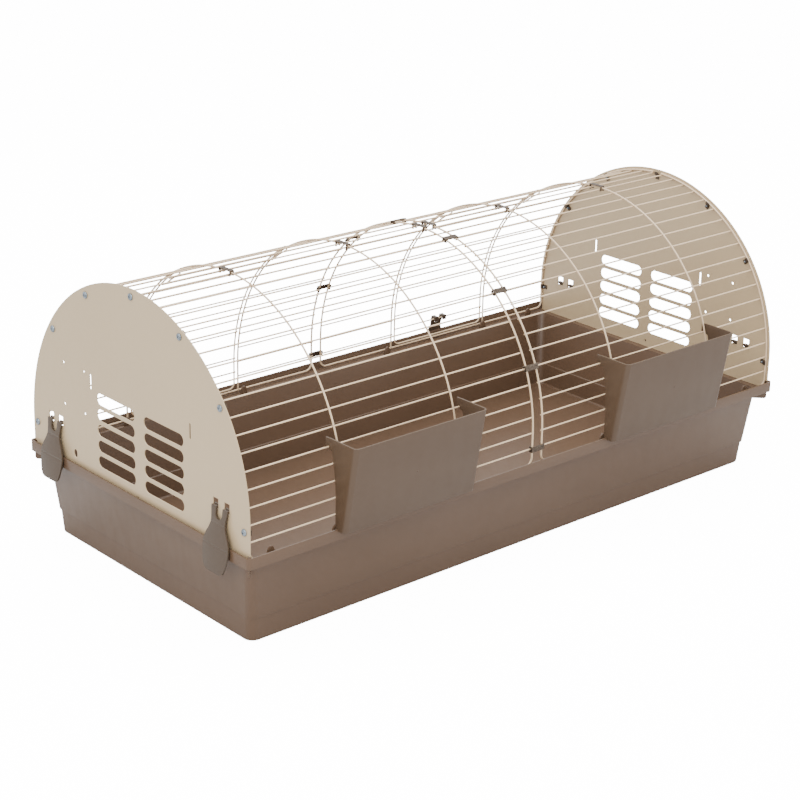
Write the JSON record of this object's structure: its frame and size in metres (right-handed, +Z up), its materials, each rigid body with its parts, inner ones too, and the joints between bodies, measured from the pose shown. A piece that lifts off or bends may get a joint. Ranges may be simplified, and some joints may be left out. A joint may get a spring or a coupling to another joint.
{
  "type": "indoor rabbit cage with hopper feeders",
  "caption": "Barrel-vault indoor rabbit cage: plastic base tray, wire vault, vented metal ends, rear wire doors, forked latches and lift-off hopper feeders on the front wires",
  "frame": {"origin": "bottom centre of the whole cage's bounding box, on the floor it stands on", "axes": "+X along the length, -Y to the front with the hoppers, +Z up"},
  "size_m": [1.0222, 0.5458, 0.4208],
  "materials": {
    "tray_plastic": "satin moulded polypropylene, taupe brown",
    "panel_paint": "smooth powder-coated sheet, beige",
    "wire_coat": "cream epoxy-coated wire",
    "feeder_plastic": "satin moulded plastic, taupe brown",
    "latch_plastic": "satin moulded plastic, grey brown",
    "clip_steel": "dark phosphated spring steel",
    "screw_zinc": "bright zinc plate"
  },
  "bodies": {
    "cage": {"tray": "tray_plastic", "end_panel_left": "panel_paint", "end_panel_right": "panel_paint", "wire_panel_front_left": "wire_coat", "wire_panel_front_right": "wire_coat", "wire_panel_rear_left": "wire_coat", "wire_panel_rear_right": "wire_coat", "joint_clip_front_1": "clip_steel", "joint_clip_front_2": "clip_steel", "joint_clip_front_3": "clip_steel", "joint_clip_front_4": "clip_steel", "joint_clip_rear_1": "clip_steel", "joint_clip_rear_2": "clip_steel", "joint_clip_rear_3": "clip_steel", "joint_clip_rear_4": "clip_steel", "top_clip_1": "clip_steel", "top_clip_2": "clip_steel", "top_clip_3": "clip_steel", "top_clip_4": "clip_steel", "top_clip_5": "clip_steel", "top_clip_6": "clip_steel", "screw_left_1": "screw_zinc", "screw_left_2": "screw_zinc", "screw_left_3": "screw_zinc", "screw_left_4": "screw_zinc", "screw_left_5": "screw_zinc", "screw_left_6": "screw_zinc", "screw_left_7": "screw_zinc", "screw_right_1": "screw_zinc", "screw_right_2": "screw_zinc", "screw_right_3": "screw_zinc", "screw_right_4": "screw_zinc", "screw_right_5": "screw_zinc", "screw_right_6": "screw_zinc", "screw_right_7": "screw_zinc", "saddle_left_1": "clip_steel", "saddle_left_2": "clip_steel", "saddle_left_3": "clip_steel", "saddle_left_4": "clip_steel", "saddle_left_5": "clip_steel", "saddle_left_6": "clip_steel", "saddle_left_7": "clip_steel", "saddle_right_1": "clip_steel", "saddle_right_2": "clip_steel", "saddle_right_3": "clip_steel", "saddle_right_4": "clip_steel", "saddle_right_5": "clip_steel", "saddle_right_6": "clip_steel", "saddle_right_7": "clip_steel"},
    "rear_door_left": {"rear_door_left": "wire_coat"},
    "door_latch_left": {"door_latch_left": "latch_plastic"},
    "rear_door_right": {"rear_door_right": "wire_coat"},
    "door_latch_right": {"door_latch_right": "latch_plastic"},
    "end_latch_left_front": {"end_latch_left_front": "latch_plastic"},
    "end_latch_left_rear": {"end_latch_left_rear": "latch_plastic"},
    "end_latch_right_front": {"end_latch_right_front": "latch_plastic"},
    "end_latch_right_rear": {"end_latch_right_rear": "latch_plastic"},
    "hopper_left": {"hopper_left": "feeder_plastic"},
    "hopper_right": {"hopper_right": "feeder_plastic"}
  },
  "joints": [
    {"name": "rear_door_left_hinge", "type": "hinge", "parent": "cage", "child": "rear_door_left", "pos_m": [-0.247, 0.12856, 0.38284], "axis": [1, 0, 0], "range_deg": [0, 110]},
    {"name": "rear_door_right_hinge", "type": "hinge", "parent": "cage", "child": "rear_door_right", "pos_m": [0.25575, 0.12856, 0.38284], "axis": [1, 0, 0], "range_deg": [0, 110]},
    {"name": "door_latch_left_hinge", "type": "hinge", "parent": "rear_door_left", "child": "door_latch_left", "pos_m": [-0.247, 0.25012, 0.161], "axis": [1, 0, 0], "range_deg": [0, 60]},
    {"name": "door_latch_right_hinge", "type": "hinge", "parent": "rear_door_right", "child": "door_latch_right", "pos_m": [0.257, 0.25012, 0.161], "axis": [1, 0, 0], "range_deg": [0, 60]},
    {"name": "end_latch_left_front_hinge", "type": "hinge", "parent": "cage", "child": "end_latch_left_front", "pos_m": [-0.4957, -0.17788, 0.1835], "axis": [0, 1, 0], "range_deg": [0, 70]},
    {"name": "end_latch_left_rear_hinge", "type": "hinge", "parent": "cage", "child": "end_latch_left_rear", "pos_m": [-0.4957, 0.19912, 0.1835], "axis": [0, 1, 0], "range_deg": [0, 70]},
    {"name": "end_latch_right_front_hinge", "type": "hinge", "parent": "cage", "child": "end_latch_right_front", "pos_m": [0.4957, -0.17788, 0.1835], "axis": [0, -1, 0], "range_deg": [0, 70]},
    {"name": "end_latch_right_rear_hinge", "type": "hinge", "parent": "cage", "child": "end_latch_right_rear", "pos_m": [0.4957, 0.19912, 0.1835], "axis": [0, -1, 0], "range_deg": [0, 70]},
    {"name": "hopper_left_lift", "type": "slide", "parent": "cage", "child": "hopper_left", "axis": [0, -0.5, 0.866], "range_m": [0, 0.15]},
    {"name": "hopper_right_lift", "type": "slide", "parent": "cage", "child": "hopper_right", "axis": [0, -0.5, 0.866], "range_m": [0, 0.15]}
  ]
}
